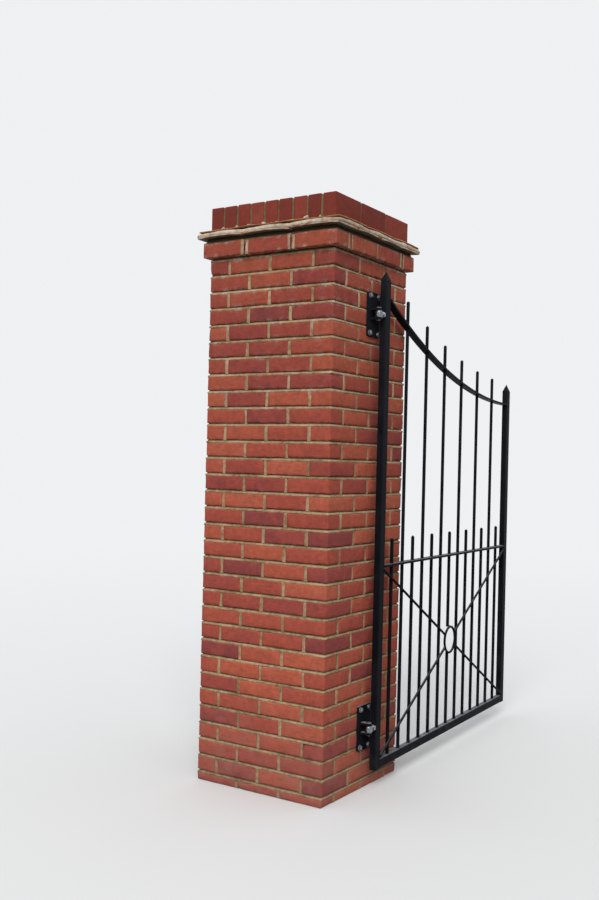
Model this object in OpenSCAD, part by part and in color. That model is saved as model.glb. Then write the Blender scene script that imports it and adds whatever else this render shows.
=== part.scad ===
// Double driveway gate: two swept wrought iron leaves hung on square brick piers.
// Z is up, X runs across the driveway and Y runs into the property, in millimetres.
// The origin is the centre of the left pier's foot.

/* [Brick piers] */
// Length of one brick
brick_l = 215; // [190:1:240]
// Width of one brick, which stands up in the coping
brick_w = 102.5; // [90:0.5:115]
// Height of one brick on its bed
brick_h = 65; // [60:0.5:75]
// Thickness of a mortar joint
mortar = 10; // [8:0.5:12]
// Bricks along one side of a pier
pier_bricks = 3; // [2:1:4]
// Full courses in a pier shaft
courses = 31; // [29:1:33]
// Height of the part course that shows above the ground
ground_course = 45; // [20:5:75]

/* [Pier caps] */
// Thickness of the mortar bed under the corbel course
corbel_bed = 14; // [8:1:18]
// How far the corbel course stands out from the shaft
corbel_out = 25; // [15:1:35]
// Thickness of the mortar bed under the tile creasing
creasing_bed = 21; // [10:1:26]
// How far the bed under the creasing lies behind the corbel course
creasing_bed_back = 8; // [4:1:15]
// How far the lower creasing tiles stand out from the shaft
creasing_out = 46; // [36:1:60]
// Thickness of one creasing tile
tile_t = 11; // [9:1:18]
// Thickness of the mortar bed between the two tile courses
tile_bed = 13; // [8:1:18]
// How far the mortar between the tiles lies behind the upper tiles
tile_bed_back = 2; // [1:1:15]
// How far the upper tiles lie behind the lower ones
upper_tile_back = 6; // [2:1:15]
// Thickness of the mortar bed under the coping
coping_bed = 8; // [6:1:14]

/* [Leaf frame] */
// Width of a stile along the leaf
stile_w = 50; // [40:1:60]
// Height of the bottom rail
rail_h = 40; // [30:1:50]
// Thickness of the stiles and the bottom rail across the leaf
frame_t = 30; // [25:1:40]
// Wall of the box sections
box_wall = 2.5; // [2:0.5:3]
// Outside corner radius of the box sections
box_corner = 4; // [3.5:0.5:6]
// Clearance under the leaf
ground_gap = 84; // [60:1:120]
// Drop of the hinge stile's point below the corbel course
tip_drop = 48; // [30:1:80]
// Rise of the meeting stile's point above the swept top rail
meeting_rise = 119; // [80:1:160]
// Height of the pyramid point on each stile
point_h = 44; // [20:1:60]
// Width of the flat bar in the middle and top rails
flat_w = 35; // [30:1:50]
// Thickness of the flat bar in the middle and top rails
flat_t = 10; // [6:0.5:12]
// Height of the middle rail's top face
mid_rail_top = 998; // [900:1:1100]
// Drop of the swept top rail's start below the hinge stile's point
sweep_drop = 128; // [100:1:160]
// Radius of the swept top rail
sweep_r = 3400; // [3300:10:3800]

/* [Bars and ring] */
// Diameter of an upright bar
bar_d = 16; // [12:0.5:20]
// Upright bars in one leaf, short ones at both ends
bar_count = 13; // [9:4:17]
// Clear gap between upright bars
bar_gap = 97; // [90:1:100]
// Clear gap between the outer bars and the stiles
end_gap = 92; // [80:1:110]
// Rise of the short bars above the middle rail
short_rise = 112; // [60:1:160]
// Rise of the long bars above the top rail
long_rise = 123; // [60:1:160]
// Radius of the dome on top of each bar
dome_r = 12; // [11:0.5:20]
// Diameter of the round bar in the ring and the cross braces
brace_d = 12; // [10:0.5:14]
// Outside diameter of the ring
ring_d = 144; // [120:1:160]
// Height at which a brace meets the stile, from the rail beside it
brace_inset = 14; // [10:1:30]

/* [Hinges] */
// Clear gap between the pier and the back of an open leaf
leaf_gap = 27; // [20:1:40]
// Distance of the pins behind the pier's street face
pin_back = 320; // [280:1:340]
// Height of the lower hinge
lower_hinge = 276; // [240:1:320]
// Drop of the upper hinge below the hinge stile's point
upper_hinge_drop = 202; // [190:1:230]
// Diameter of the hinge pin
pin_d = 16; // [12:0.5:18]
// Outside diameter of the bolt's eye
eye_d = 36; // [32:0.5:38]
// Height of the bolt's eye
eye_h = 32; // [26:0.5:36]
// Diameter of the eye bolt's shank
shank_d = 20; // [14:0.5:22]
// Thickness of the nut on the eye bolt
nut_t = 16; // [12:0.5:20]
// Size of the nut across its flats
nut_flats = 30; // [26:0.5:34]
// Length of bare shank between the eye and its nut
shank_free = 8; // [6:0.5:20]
// Width of the hinge plate
plate_w = 110; // [100:1:130]
// Height of the hinge plate
plate_h = 200; // [180:1:240]
// Thickness of the hinge plate
plate_t = 8; // [6:0.5:10]
// Distance of the plate's middle behind the pin
plate_shift = 20; // [5:1:30]
// Corner radius of the hinge plate
plate_corner = 8; // [3:1:12]
// Diameter of the four bolt holes in the hinge plate
bolt_hole = 13; // [11:0.5:15]
// Distance of the bolt holes from the plate's sides
bolt_side = 17; // [14:1:24]
// Distance of the bolt holes from the plate's ends
bolt_end = 16; // [12:1:24]
// Width of a lug
lug_w = 28; // [26:0.5:32]
// Thickness of a lug
lug_t = 10; // [8:0.5:14]

/* [Hung gate] */
// Gap between the meeting stiles when the leaves are closed
meeting_gap = 12; // [8:1:20]
// Angle at which the leaves stand open
open_angle = 91.9; // [90:0.1:92]

/* [Hidden] */
$fn = 96;
running_fit = 0.05;    // radial play of a pin in its hole
seat_gap = 0.3;        // play between a lug and the eye above it
weld_fit = 0.25;       // play of a bar in a punched rail
overcut = 1;           // how far a cut runs past the metal

pier_w = pier_bricks * (brick_l + mortar) - mortar;
course_h = brick_h + mortar;
shaft_h = ground_course + courses * course_h - mortar + corbel_bed;
corbel_w = pier_w + 2 * corbel_out;
corbel_top = shaft_h + brick_h;
lower_tile_z = corbel_top + creasing_bed;
upper_tile_z = lower_tile_z + tile_t + tile_bed;
creasing_top = upper_tile_z + tile_t + coping_bed;

frame_bottom = ground_gap;
rail_top = frame_bottom + rail_h;
mid_rail_bottom = mid_rail_top - flat_t;

stile_near = eye_d / 2 + shank_free + nut_t;      // from the pin to the hinge stile
stile_far = stile_near + stile_w;
bar_pitch = bar_gap + bar_d;
first_bar = stile_far + end_gap + bar_d / 2;
last_bar = first_bar + (bar_count - 1) * bar_pitch;
meeting_near = last_bar + bar_d / 2 + end_gap;
meeting_far = meeting_near + stile_w;
middle_bar = (bar_count + 1) / 2;

leaf_inside = meeting_near - stile_far;           // between the stiles
hinge_tip = shaft_h - tip_drop;
sweep_high = hinge_tip - sweep_drop;              // the top rail's centreline at the hinge stile
sweep_low = sweep_high - sweep_r + sqrt(pow(sweep_r, 2) - pow(leaf_inside, 2));
meeting_tip = sweep_low + meeting_rise;

hinge_reach = leaf_gap + frame_t / 2;             // from the pier's face to the pin
pin_x = pier_w / 2 + hinge_reach;
pin_y = pin_back - pier_w / 2;
gate_middle = pin_x + meeting_far + meeting_gap / 2;
pier_spacing = 2 * gate_middle;

upper_hinge = hinge_tip - upper_hinge_drop;
sweep_centre_z = sweep_low + sweep_r;
panel_middle = (stile_far + meeting_near) / 2;
ring_z = (rail_top + mid_rail_bottom) / 2;
ring_mid_r = (ring_d - brace_d) / 2;
brace_y = -(bar_d + brace_d) / 2;                 // the braces lie on the bars' street side
lug_gap = eye_h + 2 * seat_gap;
eye_ball_r = norm([eye_h / 2, 0.8 * pin_d]);      // rounds the eye's shoulders
pin_head_d = 1.5 * pin_d;
pin_rim_t = pin_d / 8;
pin_dome_t = pin_d / 4;
pin_dome_r = (pow(pin_head_d / 2, 2) + pow(pin_dome_t, 2)) / (2 * pin_dome_t);
pin_tail = 3;
nut_corner_r = nut_flats / sqrt(3);
nut_face_r = 0.475 * nut_flats;
nut_bevel = (nut_corner_r - nut_face_r) * tan(30);

// Height of the swept rail's centreline at a distance along the leaf from the pin
function sweep_z(x) = sweep_centre_z - sqrt(pow(sweep_r, 2) - pow(meeting_near - x, 2));
function bar_x(i) = first_bar + (i - 1) * bar_pitch;

// A block centred on the pier's axis, standing on height z
module pier_block(width, z, height) {
    translate([-width / 2, -width / 2, z]) cube([width, width, height]);
}

module pier_shaft() {
    color("firebrick") pier_block(pier_w, 0, shaft_h);
}

module corbel_course() {
    color("firebrick") pier_block(corbel_w, shaft_h, brick_h);
}

// Two courses of plain tiles with the mortar beds under, between and over them
module tile_creasing() {
    lower_w = pier_w + 2 * creasing_out;
    upper_w = lower_w - 2 * upper_tile_back;
    color("peru") {
        pier_block(corbel_w - 2 * creasing_bed_back, corbel_top, creasing_bed);
        pier_block(lower_w, lower_tile_z, tile_t);
        pier_block(upper_w - 2 * tile_bed_back, lower_tile_z + tile_t, tile_bed);
        pier_block(upper_w, upper_tile_z, tile_t);
        pier_block(pier_w, upper_tile_z + tile_t, coping_bed);
    }
}

module brick_coping() {
    color("firebrick") pier_block(pier_w, creasing_top, brick_w);
}

// Moves a piece from the pin's axis to its hinge on the left pier
module at_pin(z) {
    translate([pin_x, pin_y, z]) children();
}

// A plate on the pier's inner face, with two drilled lugs that carry the pin
module hinge_plate(z) {
    color("#202022") at_pin(z) {
        translate([-hinge_reach, plate_shift, 0]) rotate([90, 0, 90]) drilled_plate();
        difference() {
            for (side = [-1, 1]) {
                translate([0, 0, side * (lug_gap + lug_t) / 2 - lug_t / 2]) lug();
            }
            cylinder(d = pin_d + 2 * running_fit, h = lug_gap + 2 * lug_t + 2 * overcut, center = true);
        }
    }
}

// The plate with its four bolt holes, lying on Z = 0
module drilled_plate() {
    difference() {
        linear_extrude(height = plate_t) rounded_rectangle(plate_w, plate_h, plate_corner);
        for (x = [-1, 1], y = [-1, 1]) {
            translate([x * (plate_w / 2 - bolt_side), y * (plate_h / 2 - bolt_end), -overcut])
                cylinder(d = bolt_hole, h = plate_t + 2 * overcut);
        }
    }
}

// One lug: a bar with a round end about the pin
module lug() {
    bar_l = hinge_reach - plate_t;
    cylinder(d = lug_w, h = lug_t);
    translate([-bar_l, -lug_w / 2, 0]) cube([bar_l, lug_w, lug_t]);
}

// A pin with a domed head that drops through the upper lug, the eye and the lower lug
module hinge_pin(z) {
    lug_top = lug_gap / 2 + lug_t;
    color("silver") at_pin(z) {
        translate([0, 0, lug_top]) intersection() {
            cylinder(d = pin_head_d, h = pin_rim_t + pin_dome_t);
            translate([0, 0, pin_rim_t + pin_dome_t - pin_dome_r]) sphere(r = pin_dome_r);
        }
        translate([0, 0, -lug_top - pin_tail]) cylinder(d = pin_d, h = 2 * lug_top + pin_tail);
    }
}

// A nut along +X with its corners turned off at both ends
module nut() {
    rotate([0, 90, 0]) intersection() {
        cylinder(r = nut_corner_r, h = nut_t, $fn = 6);
        rotate_extrude() polygon([
            [0, 0], [nut_face_r, 0], [nut_corner_r, nut_bevel],
            [nut_corner_r, nut_t - nut_bevel], [nut_face_r, nut_t], [0, nut_t]
        ]);
    }
}

// An eye with rounded shoulders on a shank that is screwed into the hinge stile up to its nut
module eye_bolt(z) {
    color("silver") translate([0, 0, z]) difference() {
        union() {
            intersection() {
                cylinder(d = eye_d, h = eye_h, center = true);
                sphere(r = eye_ball_r);
            }
            rotate([0, 90, 0]) cylinder(d = shank_d, h = stile_near + stile_w / 2);
            translate([stile_near - nut_t, 0, 0]) nut();
        }
        cylinder(d = pin_d + 2 * running_fit, h = eye_h + 2 * overcut, center = true);
    }
}

// A rectangle with rounded corners, centred on the origin
module rounded_rectangle(width, height, r) {
    square([width - 2 * r, height], center = true);
    square([width, height - 2 * r], center = true);
    for (x = [-1, 1], y = [-1, 1]) {
        translate([x * (width / 2 - r), y * (height / 2 - r)]) circle(r = r);
    }
}

// A length of box section along +Z, as thick as the frame
module box_section(width, length) {
    translate([width / 2, 0, 0]) difference() {
        linear_extrude(height = length) rounded_rectangle(width, frame_t, box_corner);
        translate([0, 0, -overcut]) linear_extrude(height = length + 2 * overcut)
            rounded_rectangle(width - 2 * box_wall, frame_t - 2 * box_wall, box_corner - box_wall);
    }
}

// The pyramid point that closes a stile
module stile_point() {
    intersection() {
        rotate([90, 0, 0])
            linear_extrude(height = frame_t, center = true)
                polygon([[0, 0], [stile_w, 0], [stile_w / 2, point_h]]);
        rotate([90, 0, 90])
            linear_extrude(height = stile_w)
                polygon([[-frame_t / 2, 0], [frame_t / 2, 0], [0, point_h]]);
        translate([stile_w / 2, 0, 0]) linear_extrude(height = point_h)
            rounded_rectangle(stile_w, frame_t, box_corner);
    }
}

module hinge_stile() {
    color("#202022") difference() {
        translate([stile_near, 0, frame_bottom])
            box_section(stile_w, hinge_tip - point_h - frame_bottom);
        for (z = [lower_hinge, upper_hinge]) {
            translate([stile_near - overcut, 0, z]) rotate([0, 90, 0])
                cylinder(d = shank_d + 2 * weld_fit, h = stile_w / 2);
        }
    }
}

module hinge_stile_point() {
    color("#202022") translate([stile_near, 0, hinge_tip - point_h]) stile_point();
}

module meeting_stile() {
    color("#202022") translate([meeting_near, 0, frame_bottom])
        box_section(stile_w, meeting_tip - point_h - frame_bottom);
}

module meeting_stile_point() {
    color("#202022") translate([meeting_near, 0, meeting_tip - point_h]) stile_point();
}

module bottom_rail() {
    color("#202022") translate([stile_far, 0, rail_top]) rotate([0, 90, 0])
        box_section(rail_h, leaf_inside);
}

// The holes that the bars named by their place in the row need in a rail
module bar_holes(places, z_low, z_high) {
    for (i = places) {
        translate([bar_x(i), 0, z_low])
            cylinder(d = bar_d + 2 * weld_fit, h = z_high - z_low);
    }
}

module middle_rail() {
    color("#202022") difference() {
        translate([stile_far, -flat_w / 2, mid_rail_bottom])
            cube([leaf_inside, flat_w, flat_t]);
        bar_holes([1:bar_count], mid_rail_bottom - overcut, mid_rail_top + overcut);
    }
}

// A flat bar rolled to one radius, level where it reaches the meeting stile
module swept_top_rail() {
    rise = sweep_high - sweep_low;
    color("#202022") difference() {
        rotate([90, 0, 0]) linear_extrude(height = flat_w, center = true) intersection() {
            translate([meeting_near, sweep_centre_z]) difference() {
                circle(r = sweep_r + flat_t / 2, $fn = 720);
                circle(r = sweep_r - flat_t / 2, $fn = 720);
            }
            translate([stile_far, sweep_low - 2 * flat_t]) square([leaf_inside, rise + 4 * flat_t]);
        }
        bar_holes([2:2:bar_count], sweep_low - 2 * flat_t, sweep_low + rise + 2 * flat_t);
    }
}

// A round bar with a low dome on top
module bar(height) {
    intersection() {
        cylinder(d = bar_d, h = height);
        translate([0, 0, height - dome_r]) {
            sphere(r = dome_r);
            mirror([0, 0, 1]) cylinder(r = dome_r, h = height);
        }
    }
}

module long_bars() {
    color("#202022") for (i = [2:2:bar_count]) {
        translate([bar_x(i), 0, rail_top]) bar(sweep_z(bar_x(i)) + long_rise - rail_top);
    }
}

// The short bars; the middle one is cut where it laps behind the ring
module short_bars() {
    color("#202022") for (i = [1:2:bar_count]) {
        translate([bar_x(i), 0, 0]) difference() {
            translate([0, 0, rail_top]) bar(mid_rail_top + short_rise - rail_top);
            if (i == middle_bar) {
                translate([-bar_d, -bar_d, ring_z - ring_mid_r])
                    cube([2 * bar_d, 2 * bar_d, 2 * ring_mid_r]);
            }
        }
    }
}

module ring() {
    color("#202022") translate([panel_middle, brace_y, ring_z]) rotate([90, 0, 0])
        rotate_extrude() translate([ring_mid_r, 0]) circle(d = brace_d, $fn = 32);
}

// Four rods from the corners of the lower panel to the ring, cut to the ring's curve
module cross_braces() {
    half_w = panel_middle - stile_far;
    half_h = (mid_rail_bottom - rail_top) / 2 - brace_inset;
    slope = atan2(half_h, half_w);
    reach = norm([half_w, half_h]) + brace_d;
    color("#202022") difference() {
        translate([panel_middle, brace_y, ring_z]) {
            for (side = [-1, 1], tilt = [-slope, slope]) {
                rotate([0, 90 * side + tilt, 0]) translate([0, 0, ring_mid_r])
                    cylinder(d = brace_d, h = reach - ring_mid_r);
            }
        }
        translate([panel_middle, brace_y, ring_z]) rotate([90, 0, 0])
            cylinder(d = ring_d, h = 2 * brace_d, center = true);
        for (x = [stile_near, meeting_near]) {
            translate([x, -frame_t, 0]) cube([stile_w, 2 * frame_t, hinge_tip]);
        }
    }
}

// Swings a leaf's piece, drawn closed with the pin's axis at its origin, to where it hangs
module hung() {
    at_pin(0) rotate([0, 0, open_angle]) children();
}

// Draws a piece of the left half as it is, or its mirror image on the right
module half(side) {
    if (side == "left") {
        children();
    } else {
        translate([pier_spacing, 0, 0]) mirror([1, 0, 0]) children();
    }
}

for (side = ["left", "right"]) {
    half(side) pier_shaft();
    half(side) corbel_course();
    half(side) tile_creasing();
    half(side) brick_coping();
    half(side) hinge_plate(upper_hinge);
    half(side) hinge_plate(lower_hinge);
    half(side) hinge_pin(upper_hinge);
    half(side) hinge_pin(lower_hinge);
    half(side) hung() eye_bolt(upper_hinge);
    half(side) hung() eye_bolt(lower_hinge);
    half(side) hung() hinge_stile();
    half(side) hung() hinge_stile_point();
    half(side) hung() meeting_stile();
    half(side) hung() meeting_stile_point();
    half(side) hung() bottom_rail();
    half(side) hung() middle_rail();
    half(side) hung() swept_top_rail();
    half(side) hung() long_bars();
    half(side) hung() short_bars();
    half(side) hung() cross_braces();
    half(side) hung() ring();
}
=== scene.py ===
import math

import bpy
import numpy as np
from mathutils import Matrix, Vector


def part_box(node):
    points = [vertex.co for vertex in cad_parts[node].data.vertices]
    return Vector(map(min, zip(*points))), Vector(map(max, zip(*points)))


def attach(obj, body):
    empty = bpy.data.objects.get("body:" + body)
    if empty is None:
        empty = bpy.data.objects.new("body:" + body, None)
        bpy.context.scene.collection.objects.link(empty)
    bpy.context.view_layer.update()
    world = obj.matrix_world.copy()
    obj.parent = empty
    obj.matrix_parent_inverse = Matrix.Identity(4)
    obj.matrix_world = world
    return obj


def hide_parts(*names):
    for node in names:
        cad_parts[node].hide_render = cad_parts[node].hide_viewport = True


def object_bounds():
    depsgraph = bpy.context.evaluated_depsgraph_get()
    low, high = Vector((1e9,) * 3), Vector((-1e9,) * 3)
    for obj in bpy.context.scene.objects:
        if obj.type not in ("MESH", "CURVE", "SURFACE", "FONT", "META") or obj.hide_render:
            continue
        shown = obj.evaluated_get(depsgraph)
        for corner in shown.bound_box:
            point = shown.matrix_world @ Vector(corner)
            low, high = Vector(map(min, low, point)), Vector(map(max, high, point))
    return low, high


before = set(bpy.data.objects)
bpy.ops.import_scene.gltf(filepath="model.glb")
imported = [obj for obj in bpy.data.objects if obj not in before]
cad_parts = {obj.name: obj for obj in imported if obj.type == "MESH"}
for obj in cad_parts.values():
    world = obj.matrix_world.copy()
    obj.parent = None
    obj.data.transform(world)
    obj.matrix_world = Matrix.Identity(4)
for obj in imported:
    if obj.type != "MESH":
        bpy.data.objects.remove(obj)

cad_low, cad_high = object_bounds()
scene = bpy.context.scene

# Camera
# The view is the photograph's: eye height on the street, looking past the left pier's near corner
# along its open leaf. Place, angles and lens come from the pier's brick courses.
EYE = (2.5524, -3.9616, 1.4525)
HEADING, LOOK_UP, LEAN = (math.radians(a) for a in (33.171, 0.701, -1.4405))
camera = bpy.data.objects.new("camera", bpy.data.cameras.new("camera"))
camera.data.sensor_width = 36.0
camera.data.lens = 40.37
camera.data.clip_end = 400.0
camera.matrix_world = (
    Matrix.Translation(EYE)
    @ Matrix.Rotation(HEADING, 4, "Z")
    @ Matrix.Rotation(LOOK_UP, 4, "X")
    @ Matrix.Rotation(LEAN, 4, "Y")
    @ Matrix.Rotation(math.radians(90), 4, "X")
)
scene.collection.objects.link(camera)
scene.camera = camera

# Shaft bricks
# Each pier is laid three bricks square in red facing bricks. The courses turn a quarter every time,
# so stretchers stand over headers at each corner, and no two bricks are quite alike.
SIDES = ("left", "right")
HAND = {"left": 1.0, "right": -1.0}   # the right half is built as the left one's mirror image
PIER_X = {side: sum(c.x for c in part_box(f"{side}_pier_shaft")) / 2 for side in SIDES}
BRICK_L, BRICK_W, BRICK_H = 0.215, 0.1025, 0.065
SHRUNK_L, SHRUNK_H = 0.0022, 0.0016   # how much smaller than its nominal size a brick leaves the kiln
JOINT = 0.010
COURSE = BRICK_H + JOINT
GROUND_COURSE = 0.045   # what shows of the lowest course, with its joint
COURSES = 31
SHAFT_HALF = (3 * (BRICK_L + JOINT) - JOINT) / 2
WAVE_LENGTHS = (0.150, 0.090, 0.055, 0.034, 0.021)
CHIP_REACH = (0.006, 0.020)
SMEAR_REACH = 0.020   # how far from its beds mortar marks a brick


def skin_lattice(*cells):
    """The points on the skin of a block cut into cells, by their line on each axis, and its quads."""
    number, quads = {}, []
    for axis in range(3):
        first, second = (a for a in range(3) if a != axis)
        for end in (0, cells[axis]):
            outward = (end > 0) == (axis != 1)   # from x to z the quads run round the other way
            for i in range(cells[first]):
                for j in range(cells[second]):
                    quad = []
                    for step_i, step_j in ((0, 0), (1, 0), (1, 1), (0, 1)):
                        lines = {axis: end, first: i + step_i, second: j + step_j}
                        quad.append(number.setdefault((lines[0], lines[1], lines[2]), len(number)))
                    quads.append(quad if outward else quad[::-1])
    return np.array(list(number)), np.array(quads)


def lattice_lines(parts, arris):
    """Where the lattice's lines cross one axis, as shares of its length and distances: close at the ends."""
    ends = [(0.0, 0.0), (0.0, 0.8 * arris), (0.0, 2.4 * arris)]
    middle = [(i / parts, 0.0) for i in range(1, parts)]
    return np.array(ends + middle + [(1.0, -distance) for _, distance in ends[::-1]])


def surface_waves(points, rng):
    """How uneven and how ragged each block is at its points: waves that run every way over it."""
    uneven, ragged = np.zeros(points.shape[:2]), np.zeros(points.shape[:2])
    for length in WAVE_LENGTHS:
        way = rng.normal(size=(len(points), 1, 3))
        way *= 2 * math.pi / length / np.linalg.norm(way, axis=2, keepdims=True)
        phase = rng.uniform(0, 2 * math.pi, (len(points), 1))
        wave = np.sin((points * way).sum(axis=2) + phase)
        uneven += wave * length / WAVE_LENGTHS[0]
        ragged += wave * 0.5
    return uneven, ragged


def lay_blocks(blocks, parts, arris, bow, wear, askew, seed):
    """Points, quads and per-point values of many bricks or tiles. A block is (centre, size, quarter turned).

    bow is how uneven the faces are, wear how far the arrises are worn back, and askew the turn in
    radians and the shift in metres by which a block lies off its line.
    """
    rng = np.random.default_rng(seed)
    lines = [lattice_lines(n, arris) for n in parts]
    lattice, quads = skin_lattice(*(len(axis) - 1 for axis in lines))
    share, offset = (np.stack([lines[a][lattice[:, a], k] for a in range(3)], axis=1) for k in (0, 1))
    count, per_block = len(blocks), len(lattice)
    centre = np.array([tuple(block[0]) for block in blocks])[:, None, :]
    size = np.array([block[1] for block in blocks])[:, None, :]
    turned = np.array([block[2] for block in blocks])[:, None, None]
    half = size / 2
    sharp = (share - 0.5) * size + offset

    # Arrises are rounded, and worn back where the brick is ragged
    inner = np.clip(sharp, -(half - arris), half - arris)
    out = sharp - inner
    out /= np.linalg.norm(out, axis=2, keepdims=True)
    uneven, ragged = surface_waves(sharp, rng)
    to_edge = np.sort(half - np.abs(sharp), axis=2)[:, :, 1]
    edge = np.clip(1 - to_edge / (2.6 * arris), 0, 1)
    skin = arris + bow * uneven - wear * edge * (0.6 + 0.5 * ragged).clip(0, None)
    local = inner + out * skin[:, :, None]

    # One corner of about every other block is chipped, and less on a thin closer
    corner = rng.choice([-1.0, 1.0], (count, 1, 3))
    reach = rng.uniform(*CHIP_REACH, (count, 1))
    chip = rng.uniform(-2.0, 1.6, (count, 1)).clip(0) * wear * 1.6 * (size[:, :, 0] / 0.2).clip(0, 1)
    near = np.clip(1 - np.linalg.norm(local - corner * half, axis=2) / reach, 0, 1)
    local -= corner * (chip * near)[:, :, None]

    tilted = local + np.cross(rng.normal(0, askew[0], (count, 3))[:, None, :], local)
    tilted += rng.normal(0, askew[1], (count, 1, 3))
    swapped = np.stack([-tilted[:, :, 1], tilted[:, :, 0], tilted[:, :, 2]], axis=2)
    points = centre + np.where(turned, swapped, tilted)
    quads = quads + (np.arange(count) * per_block)[:, None, None]
    tone = np.repeat(rng.uniform(0, 1, (count, 1)), per_block, axis=1)
    grain = local + rng.uniform(-4, 4, (count, 1, 3))
    bed = np.clip((half - np.abs(sharp))[:, :, 2] / SMEAR_REACH, 0, 1)
    values = {"tone": tone.ravel(), "bed": bed.ravel(), "grain": grain.reshape(-1, 3)}
    return points.reshape(-1, 3), quads.reshape(-1, 4).tolist(), values


def build_piece(name, parts, material, crease=None):
    """Joins (points, faces, values) parts into one object: smooth, or sharp above the crease angle."""
    points, faces, values = [], [], {}
    for part_points, part_faces, part_values in parts:
        start = sum(len(p) for p in points)
        points.append(part_points)
        faces += [[start + i for i in face] for face in part_faces]
        for key, value in part_values.items():
            values.setdefault(key, []).append(value)
    mesh = bpy.data.meshes.new(name)
    mesh.from_pydata(np.concatenate(points).tolist(), [], faces)
    for key, value in values.items():
        value = np.concatenate(value).astype(np.float32)
        kind, field = ("FLOAT_VECTOR", "vector") if value.ndim == 2 else ("FLOAT", "value")
        mesh.attributes.new(key, kind, "POINT").data.foreach_set(field, value.ravel())
    mesh.polygons.foreach_set("use_smooth", [True] * len(mesh.polygons))
    if crease is not None:
        mesh.set_sharp_from_angle(angle=crease)
    mesh.materials.append(material)
    mesh.validate()
    piece = bpy.data.objects.new(name, mesh)
    scene.collection.objects.link(piece)
    return piece


def connect(tree, node, inputs):
    """Gives each named or numbered input of a node a value or a link."""
    for socket, value in inputs.items():
        if isinstance(value, bpy.types.NodeSocket):
            tree.links.new(value, node.inputs[socket])
        else:
            node.inputs[socket].default_value = value


def add_node(tree, kind, inputs=None, **options):
    """Adds a shader node, sets its options and connects its inputs."""
    node = tree.nodes.new(kind)
    for option, value in options.items():
        setattr(node, option, value)
    connect(tree, node, inputs or {})
    return node


def add_math(tree, operation, first, second=0.0, third=0.0, clamp=False):
    """One step of arithmetic on values."""
    inputs = {0: first, 1: second, 2: third}
    return add_node(tree, "ShaderNodeMath", inputs, operation=operation, use_clamp=clamp).outputs[0]


def add_range(tree, value, low, high, to_low=0.0, to_high=1.0):
    """Stretches a value from one range to another, and holds it there."""
    inputs = {"Value": value, "From Min": low, "From Max": high, "To Min": to_low, "To Max": to_high}
    return add_node(tree, "ShaderNodeMapRange", inputs).outputs["Result"]


def add_noise(tree, place, scale, detail, roughness=0.5):
    """A cloudy value between 0 and 1, about as coarse as 1 / scale metres."""
    inputs = {"Vector": place, "Scale": scale, "Detail": detail, "Roughness": roughness}
    return add_node(tree, "ShaderNodeTexNoise", inputs).outputs["Fac"]


def add_ramp(tree, factor, stops):
    """A colour ramp with the given (place, colour) stops."""
    ramp = add_node(tree, "ShaderNodeValToRGB", {"Fac": factor})
    elements = ramp.color_ramp.elements
    while len(elements) < len(stops):
        elements.new(0.5)
    for element, (place, colour) in zip(elements, stops):
        element.position = place
        element.color = (*colour, 1.0)
    return ramp.outputs["Color"]


def add_mix(tree, factor, first, second, blend="MIX"):
    """Blends two colours."""
    first, second = (c if isinstance(c, bpy.types.NodeSocket) else (*c, 1.0) for c in (first, second))
    inputs = {0: factor, 6: first, 7: second}
    return add_node(tree, "ShaderNodeMix", inputs, data_type="RGBA", blend_type=blend).outputs[2]


def add_bump(tree, height, distance, strength, over=None):
    """The normal of a surface raised by a height, over an earlier normal if there is one."""
    inputs = {"Height": height, "Distance": distance, "Strength": strength}
    if over is not None:
        inputs["Normal"] = over
    return add_node(tree, "ShaderNodeBump", inputs).outputs["Normal"]


def object_place(tree):
    """The place of a point on its own object."""
    return add_node(tree, "ShaderNodeTexCoord").outputs["Object"]


def upward_part(tree, vector):
    """How far a place or a direction goes up."""
    return add_node(tree, "ShaderNodeSeparateXYZ", {0: vector}).outputs["Z"]


def stretched(tree, place, scale):
    """A place scaled by another amount along each axis, which draws a pattern out."""
    return add_node(tree, "ShaderNodeMapping", {"Vector": place, "Scale": scale}).outputs["Vector"]


def mesh_value(tree, name, output="Fac"):
    """A value that the mesh carries at its points."""
    return add_node(tree, "ShaderNodeAttribute", attribute_name=name).outputs[output]


def new_group(name, inputs, outputs):
    """A shader node group with named sockets, its given inputs, and the node that takes its results."""
    group = bpy.data.node_groups.new(name, "ShaderNodeTree")
    for title, kind, *default in inputs:
        socket = group.interface.new_socket(title, in_out="INPUT", socket_type=f"NodeSocket{kind}")
        if default:
            socket.default_value = default[0]
    for title, kind in outputs:
        group.interface.new_socket(title, in_out="OUTPUT", socket_type=f"NodeSocket{kind}")
    return group, group.nodes.new("NodeGroupInput").outputs, group.nodes.new("NodeGroupOutput")


def use_group(tree, group, **inputs):
    """Places a node group with its own values."""
    placed = add_node(tree, "ShaderNodeGroup", node_tree=group)
    connect(tree, placed, {title.replace("_", " "): value for title, value in inputs.items()})
    return placed.outputs


def new_material(name):
    """A material, its node tree and its Principled shader."""
    material = bpy.data.materials.new(name)
    material.use_nodes = True
    return material, material.node_tree, material.node_tree.nodes["Principled BSDF"]


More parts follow.
